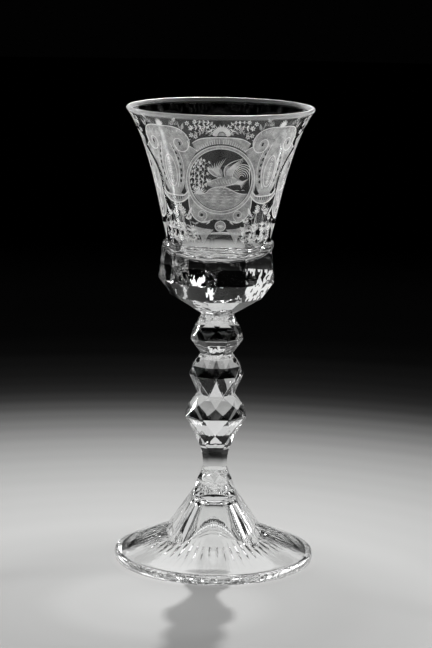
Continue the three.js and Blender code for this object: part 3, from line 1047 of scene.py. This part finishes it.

# Floor. A table under a pale sheet. A pool of light is painted into its colour, brightest round the cup
# and fading to painted shade, black behind it. Under the foot the colour is painted a little lighter
# still: painted light for the light that the glass gathers on the sheet.
floor_mesh = bmesh.new()
bmesh.ops.create_circle(floor_mesh, cap_ends=True, segments=96, radius=2.5)
bmesh.ops.translate(floor_mesh, verts=floor_mesh.verts, vec=(0, 0, -0.0002))
pale, tree, shader = new_material("pale_floor", {"Roughness": 0.7, "Specular IOR Level": 0})
where = add_node(tree, "TexCoord")
centred = add_node(tree, "Mapping", inputs={"Location": (0.02, 0.06, 0), "Scale": (1, 1, 0)})
far = add_node(tree, "VectorMath", operation="LENGTH")
painted_light_fade = add_node(tree, "ValToRGB")
# Distances in metres from a point just in front of the cup, and the grey painted there: the pool of
# painted light, which fades to painted shade.
painted_light_levels = (
    (0.0, 0.6826), (0.03, 0.6324), (0.05, 0.5476), (0.07, 0.5253), (0.09, 0.5513), (0.11, 0.5721),
    (0.13, 0.5364), (0.15, 0.5022), (0.17, 0.4626), (0.19, 0.4108), (0.21, 0.3677), (0.23, 0.3141),
    (0.25, 0.2636), (0.27, 0.2019), (0.29, 0.1445), (0.31, 0.0954), (0.33, 0.051), (0.35, 0.0234),
    (0.37, 0.0117), (0.39, 0.0074), (0.41, 0.0049), (0.44, 0.0032), (0.47, 0.0017), (0.53, 0.0009),
    (0.61, 0.0007), (0.9, 0.0),
)
ramp = painted_light_fade.color_ramp
ramp.interpolation = "EASE"
while len(ramp.elements) < len(painted_light_levels):
    ramp.elements.new(0.5)
for element, (distance, grey) in zip(ramp.elements, painted_light_levels):
    element.position = distance
    element.color = (grey, grey, grey * 0.99, 1)
reach = add_node(tree, "VectorMath", operation="LENGTH")
# Painted light: under the foot the sheet's colour is made 1.3 times lighter, easing back at its rim.
painted_caustic_light = add_node(tree, "MapRange", inputs={"From Min": 0.035, "From Max": 0.041, "To Min": 1.3})
lit = add_node(tree, "VectorMath", operation="SCALE")
join_nodes(
    tree,
    (where, "Object", centred, "Vector"),
    (centred, 0, far, 0),
    (far, "Value", painted_light_fade, 0),
    (where, "Object", reach, 0),
    (reach, "Value", painted_caustic_light, "Value"),
    (painted_light_fade, 0, lit, 0),
    (painted_caustic_light, 0, lit, "Scale"),
    (lit, 0, shader, "Base Color"),
)
floor = laid_out("floor", floor_mesh, pale)

# Lamps. A small hard lamp high behind the cup throws its shadow to the front, and wide soft ones
# light the sheet. Pale screens beyond the cup are what the facets and panels of the glass show.


def softbox(name, place, aim, size, power):
    """A soft lamp that shines from place to a height on the cup's axis and isn't seen itself."""
    lamp = bpy.data.lights.new(name, "AREA")
    lamp.shape = "RECTANGLE"
    lamp.size, lamp.size_y = size
    lamp.energy = power
    holder = bpy.data.objects.new(name, lamp)
    holder.location = place
    holder.rotation_euler = (Vector((0, 0, aim)) - Vector(place)).to_track_quat("-Z", "Y").to_euler()
    holder.visible_camera = False
    scene.collection.objects.link(holder)
    return holder


softbox("back_lamp", (0.062, 0.92, 0.80), 0.03, (0.05, 0.05), 11)
softbox("top_lamp", (0.0, 0.45, 0.9), 0.05, (0.9, 0.6), 2)
softbox("left_lamp", (-0.77, 0.63, 0.34), 0.12, (0.06, 0.16), 2)
softbox("right_lamp", (0.7, 0.25, 0.3), 0.12, (0.1, 0.3), 2)
for side in (-1, 1):
    softbox("side_lamp", (side * 1.0, 0.45, 0.38), 0.1, (0.75, 0.38), 0.58)
# Each screen's heading in degrees, width, lower and upper edge in metres, and brightness.
screens = (
    (0, 1.16, 0.405, 0.61, 0.62), (-0.5, 0.17, 0.255, 0.4, 0.68), (25.5, 0.17, 0.3, 0.4, 0.5),
    (-27, 0.2, 0.22, 0.4, 0.35), (-48, 0.25, 0.22, 0.42, 1.0), (-37.6, 0.06, 0.31, 0.4, 0.9),
    (13, 0.03, 0.22, 0.27, 1.2), (-11, 0.01, 0.225, 0.26, 0.7), (-23.5, 0.06, 0.14, 0.4, 1.5),
)
for heading, width, low, high, bright in screens:
    turn = math.radians(heading)
    away = 1.1 - width / 10
    place = (away * math.sin(turn), away * math.cos(turn), (low + high) / 2)
    softbox("screen", place, 0.1, (width, high - low), math.pi * width * (high - low) * bright)
for side in (-1, 1):
    for place, power in (((side * 0.6, -0.45, 0.12), 1.7), ((side * 0.8, 0.05, 0.14), 2.6)):
        fill = softbox("fill_lamp", place, 0.16, (0.3, 0.3), power)
        fill.visible_glossy = False
        fill.visible_transmission = False

world = bpy.data.worlds.new("dark_room")
world.use_nodes = True
world.node_tree.nodes["Background"].inputs["Color"].default_value = (0.0006, 0.0006, 0.0006, 1)
scene.world = world

# Camera. It stands about nine tenths of a metre in front of the cup and looks a little down on it,
# as the photographer's did. The light is followed far enough to pass through the whole glass.
eye, tilt, roll = (-0.00045, -0.910, 0.270), math.radians(90 - 10.9), math.radians(0.96)
lens = bpy.data.cameras.new("camera")
lens.sensor_fit = "VERTICAL"
lens.sensor_height = 36
lens.lens = 131.78
camera = bpy.data.objects.new("camera", lens)
camera.matrix_world = (
    Matrix.Translation(eye) @ Matrix.Rotation(tilt, 4, "X") @ Matrix.Rotation(roll, 4, "Z")
)
scene.collection.objects.link(camera)
scene.camera = camera
scene.view_settings.view_transform = "Standard"
cycles = scene.cycles
cycles.use_denoising = True
cycles.max_bounces = 24
cycles.transmission_bounces = 24
cycles.glossy_bounces = 16
cycles.transparent_max_bounces = 32
cycles.caustics_refractive = False
cycles.caustics_reflective = False
